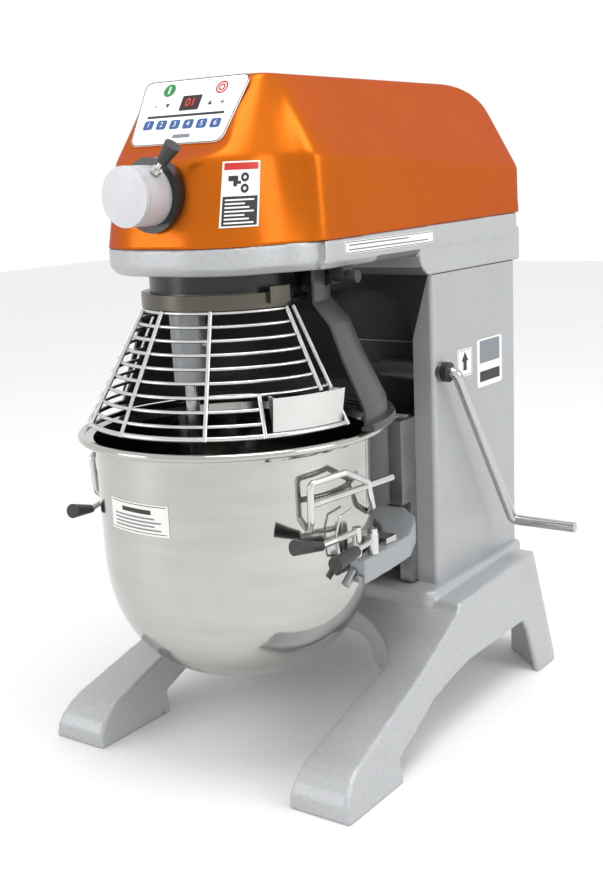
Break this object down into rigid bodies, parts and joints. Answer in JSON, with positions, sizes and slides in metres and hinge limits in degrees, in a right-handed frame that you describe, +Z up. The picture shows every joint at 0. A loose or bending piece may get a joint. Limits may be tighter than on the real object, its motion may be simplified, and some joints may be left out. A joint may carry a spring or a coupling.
{
  "type": "planetary stand mixer",
  "caption": "Bench planetary stand mixer with bowl lift, wire bowl guard, dough hook and attachment hub.",
  "frame": {"origin": "floor level, centre of the four bench-bolt holes", "axes": "+Z up, -Y towards the bowl and control panel, +X towards the lift lever"},
  "size_m": [0.4898, 0.6668, 0.791],
  "materials": {
    "grey_enamel": "hammered semi-gloss",
    "orange_enamel": "gloss",
    "black_plastic": "satin",
    "panel_film": "satin",
    "label_film": "satin",
    "polished_steel": "polished",
    "machined_steel": "machined",
    "black_enamel": "satin",
    "belt_rubber": "matt"
  },
  "bodies": {
    "frame": {"base_casting": "grey_enamel", "column_casting": "grey_enamel", "column_bolts": "machined_steel", "column_rear_cover": "grey_enamel", "rear_cover_screws": "machined_steel", "cable_gland": "black_plastic", "head_casting": "grey_enamel", "head_bolts": "machined_steel", "head_cover": "orange_enamel", "head_cover_screws": "machined_steel", "control_panel": "panel_film", "control_board": "black_plastic", "warning_label": "label_film", "side_label": "label_film", "lift_labels": "label_film", "hub_housing": "polished_steel", "hub_flange": "black_plastic", "hub_bearing": "machined_steel", "drive_motor": "black_enamel", "inverter_drive": "black_plastic", "drive_belt": "belt_rubber", "bearing_bridge": "grey_enamel", "main_bearings": "machined_steel", "drip_ring": "black_enamel", "ring_gear": "machined_steel", "guard_track": "machined_steel", "rear_shield": "grey_enamel", "interlock_arm": "black_plastic", "slide_rails": "machined_steel", "lever_bush": "machined_steel"},
    "carriage": {"slide_block": "grey_enamel", "bowl_yoke": "grey_enamel", "lift_rack": "machined_steel", "bail_wires": "polished_steel", "yoke_pins": "machined_steel", "bowl_shell": "polished_steel", "bowl_handles": "polished_steel", "bowl_ears": "polished_steel", "bowl_label": "label_film"},
    "lever": {"lift_pinion": "machined_steel", "lift_lever": "polished_steel"},
    "planetary": {"main_shaft": "machined_steel", "driven_pulley": "machined_steel", "planet_carrier": "machined_steel", "main_bevel_gear": "machined_steel"},
    "agitator": {"agitator_shaft": "grey_enamel", "planet_pinion": "machined_steel", "dough_hook": "polished_steel"},
    "motor_rotor": {"motor_shaft": "machined_steel", "motor_pulley": "machined_steel"},
    "hub_drive": {"hub_shaft": "machined_steel", "hub_bevel_gear": "machined_steel"},
    "guard": {"guard_band": "polished_steel", "guard_cage": "polished_steel", "guard_chute": "black_plastic"},
    "clamp_right": {"clamp_right": "black_plastic"},
    "clamp_left": {"clamp_left": "black_plastic"},
    "latch": {"latch_lever": "black_plastic"},
    "hub_screw": {"thumb_screw": "black_plastic"},
    "hub_cap": {"hub_cap": "polished_steel"}
  },
  "joints": [
    {"name": "bowl_lift", "type": "slide", "parent": "frame", "child": "carriage", "axis": [0, 0, 1], "range_m": [-0.07, 0]},
    {"name": "lever_turn", "type": "hinge", "parent": "frame", "child": "lever", "pos_m": [0.15, 0.06, 0.433], "axis": [1, 0, 0], "range_deg": [0, 167.5]},
    {"name": "planetary_turn", "type": "hinge", "parent": "frame", "child": "planetary", "pos_m": [0, -0.18, 0.56], "axis": [0, 0, 1], "continuous": true},
    {"name": "agitator_turn", "type": "hinge", "parent": "planetary", "child": "agitator", "pos_m": [-0.02192, -0.22494, 0.56], "axis": [0, 0, 1], "continuous": true},
    {"name": "motor_turn", "type": "hinge", "parent": "frame", "child": "motor_rotor", "pos_m": [0, 0.2, 0.56], "axis": [0, 0, 1], "continuous": true},
    {"name": "hub_turn", "type": "hinge", "parent": "frame", "child": "hub_drive", "pos_m": [0, -0.24, 0.6677], "axis": [0, 1, 0], "continuous": true},
    {"name": "guard_swing", "type": "hinge", "parent": "frame", "child": "guard", "pos_m": [0, -0.18, 0.55], "axis": [0, 0, 1], "range_deg": [-100, 0]},
    {"name": "clamp_right_swing", "type": "hinge", "parent": "carriage", "child": "clamp_right", "pos_m": [0.175, -0.192, 0.27], "axis": [0, 0, 1], "range_deg": [0, 60]},
    {"name": "clamp_left_swing", "type": "hinge", "parent": "carriage", "child": "clamp_left", "pos_m": [-0.175, -0.192, 0.27], "axis": [0, 0, -1], "range_deg": [0, 60]},
    {"name": "latch_swing", "type": "hinge", "parent": "carriage", "child": "latch", "pos_m": [0.183, -0.172, 0.27], "axis": [0, 0, 1], "range_deg": [0, 70]},
    {"name": "hub_screw_turn", "type": "hinge", "parent": "frame", "child": "hub_screw", "pos_m": [0.02404, -0.315, 0.69174], "axis": [0.7071, 0, 0.7071], "range_deg": [0, 350]},
    {"name": "hub_cap_pull", "type": "slide", "parent": "frame", "child": "hub_cap", "axis": [0, -1, 0], "range_m": [0, 0.03]}
  ],
  "couplings": [
    {"joint": "lever_turn", "follows": "bowl_lift", "rad_per_m": -41.667},
    {"joint": "agitator_turn", "follows": "planetary_turn", "ratio": -4.125},
    {"joint": "motor_turn", "follows": "planetary_turn", "ratio": 3.6364},
    {"joint": "hub_turn", "follows": "planetary_turn", "ratio": -1}
  ]
}
